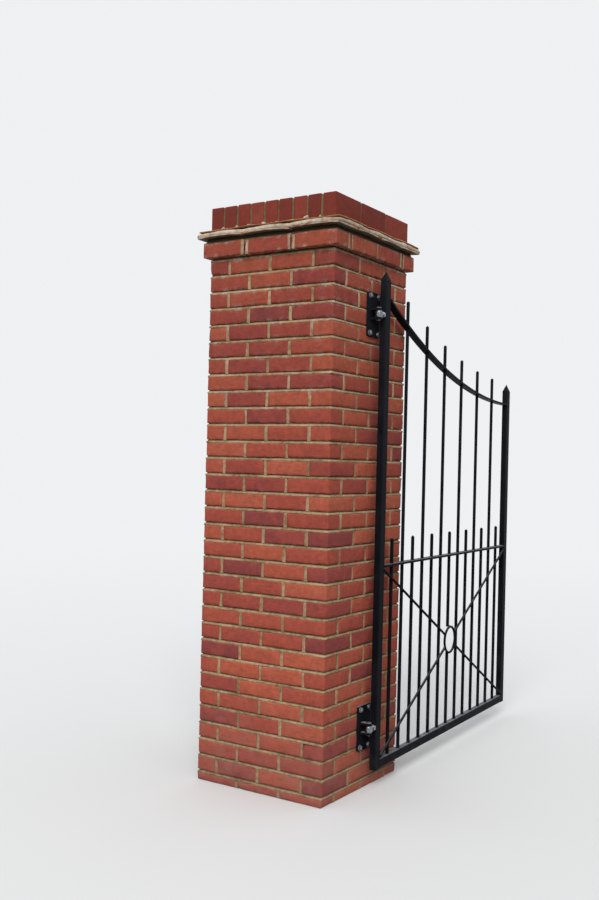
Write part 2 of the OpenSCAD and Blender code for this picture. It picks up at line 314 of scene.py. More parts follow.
def make_sand_face():
    """Sand grains and small pits, as on a sanded brick face or in mortar."""
    group, given, results = new_group(
        "sand_face",
        [("Place", "Vector"), ("Grain Size", "Float", 0.0015), ("Pitting", "Float", 0.5)],
        [("Height", "Float"), ("Speckle", "Float"), ("Pits", "Float")],
    )
    place = given["Place"]
    per_metre = add_math(group, "DIVIDE", 1.0, given["Grain Size"])
    sand = add_noise(group, place, per_metre, 3.0)
    pit_scale = add_math(group, "MULTIPLY", per_metre, 0.22)
    pits = add_node(group, "ShaderNodeTexVoronoi", {"Vector": place, "Scale": pit_scale}).outputs["Distance"]
    hole = add_range(group, pits, 0.10, 0.32, 1.0, 0.0)
    some = add_range(group, add_noise(group, place, 70.0, 2.0), 0.52, 0.66)
    pitted = add_math(group, "MULTIPLY", add_math(group, "MULTIPLY", hole, some), given["Pitting"])
    height = add_math(group, "MULTIPLY_ADD", pitted, -1.6, sand)
    connect(group, results, {"Height": height, "Speckle": sand, "Pits": pitted})
    return group


def make_splash_and_sheen_fade():
    """What rain throws up from the ground, thinning out with height in an uneven line; the same fade also
    sets where the black paint's painted sheen gives way.
    """
    group, given, results = new_group(
        "splash_and_sheen_fade",
        [("Reach", "Float", 0.4), ("Uneven", "Float", 0.15)],
        [("Near Ground", "Float")],
    )
    place = object_place(group)
    drift = add_math(group, "SUBTRACT", add_noise(group, place, 9.0, 4.0), 0.5)
    height = add_math(group, "MULTIPLY_ADD", drift, given["Uneven"], upward_part(group, place))
    share = add_math(group, "DIVIDE", height, given["Reach"])
    connect(group, results, {"Near Ground": add_range(group, share, 0.0, 1.0, 1.0, 0.0)})
    return group


def make_lime_bloom():
    """Lime washed out of the joints under the cap: pale patches and runs that thin out downwards."""
    group, given, results = new_group(
        "lime_bloom",
        [("Top", "Float", 2.4), ("Reach", "Float", 0.8)],
        [("Lime", "Float")],
    )
    place = object_place(group)
    below = add_math(group, "SUBTRACT", given["Top"], upward_part(group, place))
    share = add_math(group, "DIVIDE", below, given["Reach"])
    runs = add_noise(group, stretched(group, place, (1.0, 1.0, 0.45)), 22.0, 5.0, 0.6)
    spots = add_noise(group, place, 150.0, 3.0)
    patch = add_math(
        group, "MULTIPLY", add_range(group, runs, 0.50, 0.66), add_range(group, spots, 0.36, 0.60),
    )
    lime = add_math(group, "MULTIPLY", patch, add_range(group, share, 0.0, 1.0, 1.0, 0.0))
    connect(group, results, {"Lime": lime})
    return group


sand_face = make_sand_face()
splash_and_sheen_fade = make_splash_and_sheen_fade()
lime_bloom = make_lime_bloom()


def make_brick_clay(name, tones, darkness, limed):
    """Fired clay: every brick has its own tone, with fire marks, drag lines, sand, painted shade in its
    pits, and lime near its beds.

    The top courses are a little darker.
    """
    material, tree, shader = new_material(name)
    tone, bed, grain = mesh_value(tree, "tone"), mesh_value(tree, "bed"), mesh_value(tree, "grain", "Vector")
    cloud = add_noise(tree, grain, 13.0, 4.0, 0.6)
    fire = add_noise(tree, grain, 42.0, 5.0, 0.65)
    drag = add_noise(tree, stretched(tree, grain, (0.16, 1.0, 1.0)), 150.0, 3.0)
    sand = use_group(tree, sand_face, Place=grain, Grain_Size=0.0016, Pitting=0.8)

    drift = add_math(tree, "SUBTRACT", cloud, 0.5)
    clay = add_ramp(tree, add_math(tree, "MULTIPLY_ADD", drift, 0.55, tone, clamp=True), tones)
    marks = add_math(tree, "MULTIPLY_ADD", drag, 0.35, add_math(tree, "MULTIPLY", fire, 0.65))
    clay = add_mix(tree, add_range(tree, marks, 0.36, 0.62, darkness, 0.0), clay, (0.085, 0.026, 0.022))
    speckle = add_range(tree, sand["Speckle"], 0.3, 0.7, 0.85, 1.15)
    # The clay darkens towards the top courses.
    top_darkening = add_range(tree, upward_part(tree, object_place(tree)), 1.1, 2.35, 1.0, 0.82)
    clay = add_mix(tree, 1.0, clay, add_math(tree, "MULTIPLY", speckle, top_darkening), "MULTIPLY")

    at_bed = add_range(tree, bed, 0.0, 0.30, 0.55, 0.0)
    smear = add_math(tree, "MULTIPLY", at_bed, add_range(tree, fire, 0.46, 0.68))
    clay = add_mix(tree, smear, clay, (0.48, 0.32, 0.20))
    # Painted shade: the sand's pits are darkened.
    clay = add_mix(tree, sand["Pits"], clay, (0.07, 0.022, 0.018))
    lime = use_group(tree, lime_bloom, Top=2.44, Reach=0.85)["Lime"]
    lime = add_math(tree, "MULTIPLY", lime, add_range(tree, bed, 0.0, 0.7, limed, 0.05 * limed))
    clay = add_mix(tree, lime, clay, (0.52, 0.43, 0.37))
    haze = use_group(tree, splash_and_sheen_fade, Reach=0.45, Uneven=0.50)["Near Ground"]
    haze = add_math(tree, "MULTIPLY", haze, add_range(tree, cloud, 0.35, 0.65, 0.15, 0.55))
    clay = add_mix(tree, haze, clay, (0.270, 0.130, 0.110))

    fine = add_bump(tree, sand["Height"], 0.0007, 0.75)
    connect(tree, shader, {
        "Base Color": clay,
        "Roughness": add_range(tree, sand["Speckle"], 0.2, 0.8, 0.78, 0.96),
        "Specular IOR Level": 0.25,
        "Normal": add_bump(tree, fire, 0.0030, 0.55, over=fine),
    })
    return material


brick_clay = make_brick_clay(
    "shaft_brick",
    [
        (0.00, (0.275, 0.056, 0.051)),
        (0.08, (0.350, 0.067, 0.052)),
        (0.30, (0.405, 0.078, 0.050)),
        (0.66, (0.465, 0.098, 0.055)),
        (0.94, (0.500, 0.113, 0.060)),
        (1.00, (0.515, 0.126, 0.070)),
    ],
    darkness=0.40, limed=0.95,
)


def shaft_course(low, height, along_street):
    """The bricks and upright joints of one course, about x = 0: rows of three, and pairs between them."""
    row = SHAFT_HALF - BRICK_W / 2
    pitch = BRICK_L + JOINT
    bricks = [(x, y, False) for y in (-row, row) for x in (-pitch, 0.0, pitch)]
    bricks += [(x, y, True) for x in (-row, row) for y in (-pitch / 2, pitch / 2)]
    joints = [(x, y, False) for y in (-1, 1) for x in (-pitch / 2, pitch / 2)]
    joints += [(x, y, True) for x in (-1, 1) for y in (-pitch, 0.0, pitch)]
    if not along_street:
        bricks = [(y, x, not turned) for x, y, turned in bricks]
        joints = [(y, x, not turned) for x, y, turned in joints]
    size = (BRICK_L - SHRUNK_L, BRICK_W, height - SHRUNK_H)
    return [((x, y, low + height / 2), size, turned) for x, y, turned in bricks], joints


def stand(blocks, side):
    """Moves blocks laid about x = 0 to their pier."""
    return [((PIER_X[side] + HAND[side] * x, y, z), size, turned) for (x, y, z), size, turned in blocks]


shaft_courses = [(0.0, GROUND_COURSE - JOINT, True)]
shaft_courses += [(GROUND_COURSE + i * COURSE, BRICK_H, i % 2 == 1) for i in range(COURSES)]
for n, side in enumerate(SIDES):
    blocks = [block for course in shaft_courses for block in shaft_course(*course)[0]]
    laid = lay_blocks(
        stand(blocks, side), parts=(5, 1, 2), arris=0.0040, bow=0.0008, wear=0.0028,
        askew=(0.0028, 0.0006), seed=11 + n,
    )
    laid[0][:, 2] = laid[0][:, 2].clip(0.0, None)
    piece = build_piece(f"{side}_shaft_bricks", [laid], brick_clay)
    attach(piece, "piers")
    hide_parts(f"{side}_pier_shaft")

# Mortar of the shafts
# Sand and cement mortar, khaki where it has weathered. The bed joints are struck: pressed in under
# the brick above and nearly flush with the brick below, so each course throws a thin shadow,
# deepened by painted shade where the mortar lies deep.
STRUCK_BED = (   # (height above the bed's foot, distance behind the face), here and further on
    (-0.0052, 0.0075), (-0.0028, 0.0010), (0.0014, 0.0014),
    (0.0050, 0.0030), (0.0080, 0.0066), (0.0130, 0.0085),
)
CORBEL_BED = 0.014
BED_STEP = 0.018
BED_WAVES = (7, 13, 22, 37, 54)   # on one trip round the pier
UPRIGHT_BACK = 0.0022


def join_rings(rings, ends):
    """The points and faces of a solid from closed outlines in turn and the middle points of its ends."""
    count, last = len(rings[0]), (len(rings) - 1) * len(rings[0])
    low = last + count
    faces = [
        [k + i, k + (i + 1) % count, k + count + (i + 1) % count, k + count + i]
        for k in range(0, last, count) for i in range(count)
    ]
    faces += [[low, (i + 1) % count, i] for i in range(count)]
    faces += [[low + 1, last + i, last + (i + 1) % count] for i in range(count)]
    return np.concatenate([*rings, np.array(ends)]), faces


def mortar_bed(middle, half, foot, profile, waver, seed, arch=0.0):
    """A square bed of mortar, from outlines that waver along its four sides. recess is 1 at 10 mm deep, and
    deeper mortar gets more painted shade.

    With arch, the bed rises and falls by that much in three bows along each side.
    """
    rng = np.random.default_rng(seed)
    per_side = round(2 * half / BED_STEP)
    run = np.arange(per_side) / per_side * 2 - 1
    ones = np.ones(per_side)
    square = np.concatenate([
        np.stack([run, -ones], axis=1), np.stack([ones, run], axis=1),
        np.stack([-run, ones], axis=1), np.stack([-ones, -run], axis=1),
    ])
    count = len(square)
    round_trip = np.arange(count) / count * 2 * math.pi
    bows = arch * (0.5 - np.tile((run + 1) * 1.5 % 1 * 2 - 1, 4) ** 2)
    rings = []
    for height, back in profile:
        drift, lift = np.zeros(count), np.zeros(count)
        for turns in BED_WAVES:
            for wander in (drift, lift):
                wander += np.sin(turns * round_trip + rng.uniform(0, 6.3)) * rng.uniform(0.3, 1.0) / 2.5
        reach = (half - back - waver * drift).clip(None, half - 0.0002)
        level = foot + height + bows + 0.8 * waver * lift
        rings.append(np.concatenate([square * reach[:, None], level[:, None]], axis=1))
    points, faces = join_rings(rings, [[0, 0, ring[:, 2].mean()] for ring in (rings[0], rings[-1])])
    points[:, 0] += middle
    recess = np.concatenate([np.full(count, back / 0.010) for _, back in profile] + [np.ones(2)])
    return points, faces, {"recess": recess}


def upright_joints(joints, half, low, height, side, seed):
    """The mortar between neighbouring bricks of a course, a little behind their faces."""
    depth = 0.030
    back = half - depth / 2 - UPRIGHT_BACK
    size = (JOINT + 0.006, depth, height + 0.004)
    blocks = []
    for x, y, turned in joints:
        place = (back * x, y) if turned else (x, back * y)
        blocks.append(((*place, low + height / 2), size, turned))
    points, quads, _ = lay_blocks(
        stand(blocks, side), parts=(1, 1, 3), arris=0.0016, bow=0.0011, wear=0.0004,
        askew=(0.012, 0.0005), seed=seed,
    )
    return points, quads, {"recess": np.full(len(points), 0.3)}


def make_mortar(name, pale, dark, limed=0.0):
    """Weathered mortar: sandy and stained, paler where it is clean, and darkened as painted shade where it
    lies deep.
    """
    material, tree, shader = new_material(name)
    place, recess = object_place(tree), mesh_value(tree, "recess")
    stain = add_noise(tree, place, 7.0, 6.0, 0.62)
    blotch = add_noise(tree, place, 55.0, 4.0)
    sand = use_group(tree, sand_face, Place=place, Grain_Size=0.0013, Pitting=0.5)

    shade = add_math(tree, "MULTIPLY_ADD", stain, 0.6, add_math(tree, "MULTIPLY", blotch, 0.4))
    between = tuple((a + b) / 2 for a, b in zip(pale, dark))
    colour = add_ramp(tree, shade, [(0.40, dark), (0.50, between), (0.61, pale)])
    speckle = add_range(tree, sand["Speckle"], 0.3, 0.7, 0.80, 1.18)
    colour = add_mix(tree, 1.0, colour, speckle, "MULTIPLY")
    # Painted shade: mortar that lies deep is darkened towards near black.
    deep = add_range(tree, recess, 0.32, 0.75, 0.0, 0.75)
    colour = add_mix(tree, deep, colour, (0.045, 0.030, 0.018))
    lime = use_group(tree, lime_bloom, Top=2.60, Reach=1.3)["Lime"]
    lime = add_math(tree, "MULTIPLY", lime, add_range(tree, recess, 0.25, 0.45, limed, 0.0))
    colour = add_mix(tree, lime, colour, (0.68, 0.63, 0.56))
    dirt = use_group(tree, splash_and_sheen_fade, Reach=0.5, Uneven=0.3)["Near Ground"]
    colour = add_mix(tree, add_math(tree, "MULTIPLY", dirt, 0.30), colour, (0.13, 0.095, 0.065))

    fine = add_bump(tree, sand["Height"], 0.0008, 0.9)
    connect(tree, shader, {
        "Base Color": colour,
        "Roughness": add_range(tree, blotch, 0.3, 0.7, 0.84, 0.98),
        "Specular IOR Level": 0.2,
        "Normal": add_bump(tree, blotch, 0.0028, 0.6, over=fine),
    })
    return material


joint_mortar = make_mortar("joint_mortar", pale=(0.49, 0.335, 0.200), dark=(0.225, 0.140, 0.070), limed=0.9)
for n, side in enumerate(SIDES):
    parts = []
    for i, (low, height, along_street) in enumerate(shaft_courses):
        seed = 1000 * (n + 1) + 2 * i
        under_corbel = i == COURSES
        thicker = CORBEL_BED / JOINT if under_corbel else 1.0
        # Under the corbel the bed lies deeper, which also deepens its painted shade.
        profile = [
            (up * thicker, back * (1.6 if under_corbel and up > 0.003 else 1.0)) for up, back in STRUCK_BED
        ]
        parts.append(mortar_bed(PIER_X[side], SHAFT_HALF, low + height, profile, 0.0011, seed))
        joints = shaft_course(low, height, along_street)[1]
        parts.append(upright_joints(joints, SHAFT_HALF, low, height, side, seed + 1))
        parts[-1][0][:, 2] = parts[-1][0][:, 2].clip(0.0, None)
    piece = build_piece(f"{side}_shaft_mortar", parts, joint_mortar)
    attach(piece, "piers")
    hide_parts(f"{side}_pier_shaft")

# Corbel course
# One course stands out 25 mm all round to carry the tiles. It is the same brick, with thin cut
# closers that make up the extra length: next to the middle brick on two sides, to the pairs on two.
SHAFT_TOP = GROUND_COURSE + COURSES * COURSE - JOINT + CORBEL_BED
CORBEL_HALF = SHAFT_HALF + 0.025
CORBEL_TOP = SHAFT_TOP + BRICK_H
CLOSER = 0.015
CORBEL_ROW = CORBEL_HALF - BRICK_W / 2
THREE = (-(CORBEL_HALF - BRICK_L / 2), 0.0, CORBEL_HALF - BRICK_L / 2)
THREE_CLOSER = BRICK_L / 2 + JOINT + CLOSER / 2
PAIR = (BRICK_L + JOINT) / 2
PAIR_CLOSER = BRICK_L + 1.5 * JOINT + CLOSER / 2
BESIDE = (CLOSER + JOINT) / 2   # from a closer's middle to the joint on either side of it
THREE_JOINTS = [closer + joint for closer in (-THREE_CLOSER, THREE_CLOSER) for joint in (-BESIDE, BESIDE)]
PAIR_JOINTS = [closer + joint for closer in (-PAIR_CLOSER, PAIR_CLOSER) for joint in (-BESIDE, BESIDE)]
PAIR_JOINTS.insert(2, 0.0)
corbel_places = []
for y in (-CORBEL_ROW, CORBEL_ROW):
    corbel_places += [(x, y, BRICK_L - SHRUNK_L, False) for x in THREE]
    corbel_places += [(x, y, CLOSER, False) for x in (-THREE_CLOSER, THREE_CLOSER)]
for x in (-CORBEL_ROW, CORBEL_ROW):
    corbel_places += [(x, y, BRICK_L - SHRUNK_L, True) for y in (-PAIR, PAIR)]
    corbel_places += [(x, y, CLOSER, True) for y in (-PAIR_CLOSER, PAIR_CLOSER)]
corbel_blocks = [
    ((x, y, SHAFT_TOP + BRICK_H / 2), (length, BRICK_W, BRICK_H), turned)
    for x, y, length, turned in corbel_places
]
corbel_joints = [(x, y, False) for y in (-1, 1) for x in THREE_JOINTS]
corbel_joints += [(x, y, True) for x in (-1, 1) for y in PAIR_JOINTS]
for n, side in enumerate(SIDES):
    laid = lay_blocks(
        stand(corbel_blocks, side), parts=(5, 1, 2), arris=0.0030, bow=0.0004, wear=0.0018,
        askew=(0.0016, 0.0004), seed=25 + n,
    )
    filled = upright_joints(corbel_joints, CORBEL_HALF, SHAFT_TOP, BRICK_H, side, seed=33 + n)
    for name, part, material in (("bricks", laid, brick_clay), ("mortar", filled, joint_mortar)):
        piece = build_piece(f"{side}_corbel_{name}", [part], material)
        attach(piece, "piers")
        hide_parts(f"{side}_corbel_course")

# Tile creasing
# Two courses of cambered plain clay tiles oversail the corbel to throw rain clear. The bed between
# them is buttered over the lower tiles' edge in pale mortar, and the upper tiles show a thin clay edge.
LOWER_TILE = CORBEL_TOP + 0.021
UPPER_TILE = LOWER_TILE + 0.024
UPPER_BACK = 0.006
CREASING_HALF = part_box("left_tile_creasing")[1].x
TILE_D, TILE_GAP = 0.165, 0.005
LOWER_T, UPPER_T = 0.0105, 0.0086
TILE_PARTS, TILE_ARRIS = (10, 1, 1), 0.002
FOOT_BED = (
    (-0.0045, 0.0120), (-0.0008, 0.0022), (0.0030, 0.0028),
    (0.0062, 0.0100), (0.0140, 0.0135), (0.0220, 0.0150),
)
BUTTERED_BED = (
    (0.0060, 0.0120), (0.0072, 0.0030), (0.0100, 0.0014), (0.0150, 0.0014),
    (0.0205, 0.0030), (0.0240, 0.0060), (0.0250, 0.0140), (0.0262, 0.0220),
)
HAUNCH = (
    (0.0100, 0.0300), (0.0112, 0.0340), (0.0140, 0.0400), (0.0185, 0.0440), (0.0200, 0.0500),
)
SMALL_DROP, LARGE_DROP = (0.010, 0.009, 0.007), (0.022, 0.015, 0.014)
ROW_DROP = 0.11   # on the sides where the coping shows its rows


def tile_ring(half, foot, thickness, long_on_street):
    """The tiles of one course: three along each of two sides, and two between them on the others."""
    row = half - TILE_D / 2
    long_l = (2 * half - 2 * TILE_GAP) / 3
    short_l = (2 * half - 2 * TILE_D - 3 * TILE_GAP) / 2
    long_x, short_y = long_l + TILE_GAP, (short_l + TILE_GAP) / 2
    tiles = [(x, y, long_l, False) for y in (-row, row) for x in (-long_x, 0.0, long_x)]
    tiles += [(x, y, short_l, True) for x in (-row, row) for y in (-short_y, short_y)]
    if not long_on_street:
        tiles = [(y, x, length, not turned) for x, y, length, turned in tiles]
    z = foot + thickness / 2
    return [((x, y, z), (length, TILE_D, thickness), turned) for x, y, length, turned in tiles]


def camber(points, tiles, rises):
    """Bends each tile so that its ends droop."""
    per_tile = len(points) // len(tiles)
    for n, ((x, y, _), (length, _, _), turned) in enumerate(tiles):
        own = points[n * per_tile:(n + 1) * per_tile]
        along = (own[:, 1] - y if turned else own[:, 0] - x) / (length / 2)
        own[:, 2] -= rises[n] * (along ** 2 - 0.5)


def drop_mortar(rng):
    """Lumps of mortar that fell on the upper tiles under the coping's joints."""
    joints = [(joint, False) for joint in np.arange(-4, 4) * COURSE + COURSE / 2]
    joints += [(-ROW_DROP, True), (ROW_DROP, True)]
    drops = []
    for joint, on_end in joints:
        for face in (-1, 1):
            size = rng.uniform(SMALL_DROP, LARGE_DROP)
            place = (joint + rng.normal(0, 0.003), face * (SHAFT_HALF + 0.003))
            place = place[::-1] if on_end else place
            drops.append(((*place, UPPER_TILE + 0.014 + size[2] / 2), tuple(size), False))
    return drops


def make_creasing_tile(name, smeared):
    """Plain clay tile, with mortar smeared over its edge in places and painted shade on its underside."""
    material, tree, shader = new_material(name)
    place = object_place(tree)
    cloud = add_noise(tree, place, 18.0, 5.0, 0.6)
    streak = add_noise(tree, stretched(tree, place, (1.0, 1.0, 5.0)), 26.0, 5.0)
    sand = use_group(tree, sand_face, Place=place, Grain_Size=0.0014, Pitting=0.6)

    own_tone = add_math(tree, "MULTIPLY", mesh_value(tree, "tone"), 0.3)
    shade = add_math(tree, "MULTIPLY_ADD", cloud, 0.7, own_tone)
    clay = add_ramp(tree, shade, [
        (0.30, (0.22, 0.075, 0.034)), (0.50, (0.40, 0.150, 0.060)), (0.72, (0.52, 0.250, 0.120)),
    ])
    lime = add_ramp(tree, cloud, [
        (0.30, (0.36, 0.29, 0.215)), (0.52, (0.56, 0.49, 0.40)), (0.72, (0.66, 0.61, 0.54)),
    ])
    smear = add_range(tree, streak, 0.62 - smeared, 0.78 - smeared)
    colour = add_mix(tree, smear, clay, lime)
    # Painted shade: faces that look down are darkened.
    facing = upward_part(tree, add_node(tree, "ShaderNodeNewGeometry").outputs["Normal"])
    under = add_range(tree, facing, -0.9, -0.4, 0.85, 0.0)
    colour = add_mix(tree, under, colour, (0.085, 0.060, 0.034))

    fine = add_bump(tree, sand["Height"], 0.0008, 0.8)
    connect(tree, shader, {
        "Base Color": colour,
        "Roughness": add_range(tree, sand["Speckle"], 0.2, 0.8, 0.75, 0.95),
        "Specular IOR Level": 0.25,
        "Normal": add_bump(tree, streak, 0.0040, 0.7, over=fine),
    })
    return material


buttered_tile = make_creasing_tile("buttered_tile", 0.20)
bare_tile = make_creasing_tile("bare_tile", 0.02)
creasing_mortar = make_mortar("creasing_mortar", pale=(0.68, 0.59, 0.47), dark=(0.37, 0.27, 0.18))
# A dark, dirty mortar for the bed under the lower tiles, darkened further as painted shade under their
# overhang.
shaded_mortar = make_mortar("shaded_mortar", pale=(0.17, 0.125, 0.070), dark=(0.070, 0.050, 0.027))
for n, side in enumerate(SIDES):
    rng = np.random.default_rng(41 + n)
    lower = tile_ring(CREASING_HALF - 0.0026, LOWER_TILE, LOWER_T, True)
    upper = tile_ring(CREASING_HALF - UPPER_BACK - 0.0006, UPPER_TILE + 0.0022, UPPER_T, False)
    courses = (("lower", lower, buttered_tile, 43, 1.0), ("upper", upper, bare_tile, 45, 0.6))
    for name, tiles, material, seed, bend in courses:
        tiles = stand(tiles, side)
        laid = lay_blocks(
            tiles, parts=TILE_PARTS, arris=TILE_ARRIS, bow=0.0006, wear=0.0010,
            askew=(0.0060, 0.0006), seed=seed + n,
        )
        camber(laid[0], tiles, rng.uniform(0.0040, 0.0065, 10) * bend)
        piece = build_piece(f"{side}_{name}_creasing_tiles", [laid], material)
        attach(piece, "piers")
        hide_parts(f"{side}_tile_creasing")
    points, quads, _ = lay_blocks(
        stand(drop_mortar(rng), side), parts=(2, 2, 2), arris=0.0032, bow=0.0008, wear=0.0012,
        askew=(0.25, 0.0008), seed=37 + n,
    )
    pale = [
        mortar_bed(PIER_X[side], CREASING_HALF, LOWER_TILE, BUTTERED_BED, 0.0018, 47 + n, arch=0.0048),
        mortar_bed(PIER_X[side], CREASING_HALF, UPPER_TILE, HAUNCH, 0.0012, 49 + n),
        (points, quads, {"recess": np.zeros(len(points))}),
    ]
    shaded = [mortar_bed(PIER_X[side], CORBEL_HALF, CORBEL_TOP, FOOT_BED, 0.0010, 31 + n)]
    for name, beds, material in (
        ("creasing_mortar", pale, creasing_mortar), ("creasing_bed", shaded, shaded_mortar),
    ):
        piece = build_piece(f"{side}_{name}", beds, material)
        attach(piece, "piers")
        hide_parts(f"{side}_tile_creasing")

# Brick-on-edge coping
# Nine bricks a row and three rows stand on edge as the weathered top, flush with the shaft. They are
# evener and a deeper red than the shaft's, with neat recessed joints.
COPING_FOOT = UPPER_TILE + 0.019
COPING_SIZE = (BRICK_L, BRICK_H, BRICK_W - 0.0008)
FLUSH_BED = (
    (-0.0010, 0.0050), (0.0015, 0.0040), (0.0300, 0.0046), (0.0600, 0.0046),
    (0.0930, 0.0046), (0.0970, 0.0065), (0.0985, 0.0200),
)
coping_clay = make_brick_clay(
    "coping_brick",
    [
        (0.00, (0.205, 0.035, 0.024)),
        (0.35, (0.260, 0.042, 0.026)),
        (0.70, (0.310, 0.051, 0.031)),
        (1.00, (0.360, 0.078, 0.048)),
    ],
    darkness=0.36, limed=0.12,
)
coping_mortar = make_mortar("coping_mortar", pale=(0.27, 0.205, 0.105), dark=(0.12, 0.090, 0.042))
coping_blocks = [
    ((column * COURSE, row * (BRICK_L + JOINT), COPING_FOOT + BRICK_W / 2 - 0.0004), COPING_SIZE, True)
    for column in range(-4, 5) for row in (-1, 0, 1)
]
for n, side in enumerate(SIDES):
    laid = lay_blocks(
        stand(coping_blocks, side), parts=(4, 2, 3), arris=0.0022, bow=0.0003, wear=0.0013,
        askew=(0.0020, 0.0004), seed=51 + n,
    )
    laid[0][:, 2] = laid[0][:, 2].clip(None, COPING_FOOT + BRICK_W)
    laid[2]["bed"] = ((laid[0][:, 2] - COPING_FOOT) / SMEAR_REACH).clip(0.0, 1.0)
    filled = mortar_bed(PIER_X[side], SHAFT_HALF, COPING_FOOT, FLUSH_BED, 0.0006, 53 + n)
    # This caps the painted shade in the coping's joints.
    filled[2]["recess"] = filled[2]["recess"].clip(None, 0.46)
    for name, part, material in (("bricks", laid, coping_clay), ("mortar", filled, coping_mortar)):
        piece = build_piece(f"{side}_coping_{name}", [part], material)
        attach(piece, "piers")
        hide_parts(f"{side}_brick_coping")

# Hinge plates
# Black painted steel plates with two lugs, bolted to the brickwork. The paint is the same satin
# black as the leaves', sprayed on, with edges that catch the light.
HINGES = ("upper", "lower")


def make_worn_edge():
    """The small radius that paint and handling give to a cut steel edge, as a normal."""
    group, given, results = new_group("worn_edge", [("Radius", "Float", 0.0012)], [("Normal", "Vector")])
    bevel = add_node(group, "ShaderNodeBevel", {"Radius": given["Radius"]}, samples=6)
    connect(group, results, {"Normal": bevel.outputs["Normal"]})
    return group


def make_dust_and_sky_sheen():
    """A dusting and dried rain on what faces up, in uneven patches, which on top faces also stands in as
    painted sheen of the sky.
    """
    group, given, results = new_group(
        "dust_and_sky_sheen",
        [("Amount", "Float", 0.4), ("Patch Size", "Float", 0.03)],
        [("Dust And Sheen", "Float")],
    )
    facing = upward_part(group, add_node(group, "ShaderNodeNewGeometry").outputs["Normal"])
    scale = add_math(group, "DIVIDE", 1.0, given["Patch Size"])
    patch = add_noise(group, object_place(group), scale, 6.0, 0.65)
    patchy = add_range(group, patch, 0.30, 0.60, 0.40, 1.0)
    facing_up_patches = add_math(group, "MULTIPLY", add_range(group, facing, 0.50, 0.92), patchy)
    connect(group, results, {"Dust And Sheen": add_math(group, "MULTIPLY", facing_up_patches, given["Amount"])})
    return group


worn_edge = make_worn_edge()
dust_and_sky_sheen = make_dust_and_sky_sheen()


def make_black_paint(name, dust_and_sheen_amount, edge_radius=None):
    """Satin black paint on steel: a faint orange peel, a dusting on top that also stands in as painted sheen
    of the sky, and a painted sheen that lightens the tone up high, leaving it darker low down.
    """
    material, tree, shader = new_material(name)
    place = object_place(tree)
    peel = add_noise(tree, place, 260.0, 2.0)
    coat = add_noise(tree, place, 11.0, 5.0, 0.6)
    # Painted sheen: the paint is lighter up high, in place of its satin gloss, and darker low down.
    sheenless_tone = add_ramp(tree, coat, [(0.35, (0.0056, 0.0060, 0.0084)), (0.65, (0.0092, 0.0099, 0.0128))])
    painted_sheen_tone = add_ramp(tree, coat, [(0.35, (0.0105, 0.0112, 0.0150)), (0.65, (0.0160, 0.0170, 0.0215))])
    low_down = use_group(tree, splash_and_sheen_fade, Reach=2.3, Uneven=0.4)["Near Ground"]
    colour = add_mix(tree, add_range(tree, low_down, 0.0, 0.6), painted_sheen_tone, sheenless_tone)

    # Painted sheen: the pale bluish grey on top faces is partly dusting and partly the sky's reflection.
    dust_and_sheen = use_group(tree, dust_and_sky_sheen, Amount=dust_and_sheen_amount, Patch_Size=0.035)["Dust And Sheen"]
    splash = use_group(tree, splash_and_sheen_fade, Reach=0.40, Uneven=0.4)["Near Ground"]
    splash = add_math(tree, "MULTIPLY", splash, add_range(tree, coat, 0.44, 0.66, 0.0, 0.06))
    dust_sheen_and_splash = add_math(tree, "MAXIMUM", dust_and_sheen, splash)
    colour = add_mix(tree, dust_sheen_and_splash, colour, (0.215, 0.220, 0.248))
    gloss = add_range(tree, coat, 0.30, 0.70, 0.34, 0.46)
    roughness = add_node(tree, "ShaderNodeMix", {0: dust_sheen_and_splash, 2: gloss, 3: 0.85}).outputs[0]
    edge = use_group(tree, worn_edge, Radius=edge_radius)["Normal"] if edge_radius else None
    connect(tree, shader, {
        "Base Color": colour,
        "Roughness": roughness,
        "Specular IOR Level": 0.012,
        "Normal": add_bump(tree, peel, 0.00012, 0.5, over=edge),
    })
    return material


def finish_node(name, material):
    """Gives a solid of the frame its material."""
    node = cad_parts[name]
    node.data.materials.clear()
    node.data.materials.append(material)


black_paint = make_black_paint("black_paint", dust_and_sheen_amount=0.95, edge_radius=0.0014)
for side in SIDES:
    for hinge in HINGES:
        finish_node(f"{side}_{hinge}_hinge_plate", black_paint)

# Plate bolts
# Four zinc-plated hexagon bolts with washers hold each plate to the pier. They go into anchors in
# the brickwork, so only the chamfered heads and the washers show.
PLATE_T = 0.008
PLATE_FACE = {
    side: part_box(f"{side}_upper_hinge_plate")[0 if side == "left" else 1].x + HAND[side] * PLATE_T
    for side in SIDES
}
BOLT_Y, BOLT_Z = 0.038, 0.084   # from the plate's middle
BOLT_FLATS = 0.019
WASHER_T, BOLT_TOP = 0.0025, 0.0100
WASHER = ((0.0, 0.0130), (0.0019, 0.0130), (0.0025, 0.0122))   # (height, radius), here and further on
BOLT_HEAD = (
    (WASHER_T - 0.0002, BOLT_FLATS), (BOLT_TOP - 0.0016, BOLT_FLATS),
    (BOLT_TOP - 0.0012, 0.0106), (BOLT_TOP - 0.0004, 0.0096), (BOLT_TOP, 0.0084),
)


def turned_profile(steps, around, flats=None):
    """A solid about the X axis from (height, radius) steps, cut to a hexagon if its flats are given."""
    angle = np.arange(around) / around * 2 * math.pi
    turn = (angle + math.pi / 6) % (math.pi / 3) - math.pi / 6
    limit = flats / 2 / np.cos(turn) if flats else np.full(around, np.inf)
    rings = []
    for height, radius in steps:
        r = np.minimum(radius, limit)
        rings.append(np.stack([np.full(around, height), r * np.cos(angle), r * np.sin(angle)], axis=1))
    return *join_rings(rings, [[height, 0, 0] for height, _ in (steps[0], steps[-1])]), {}


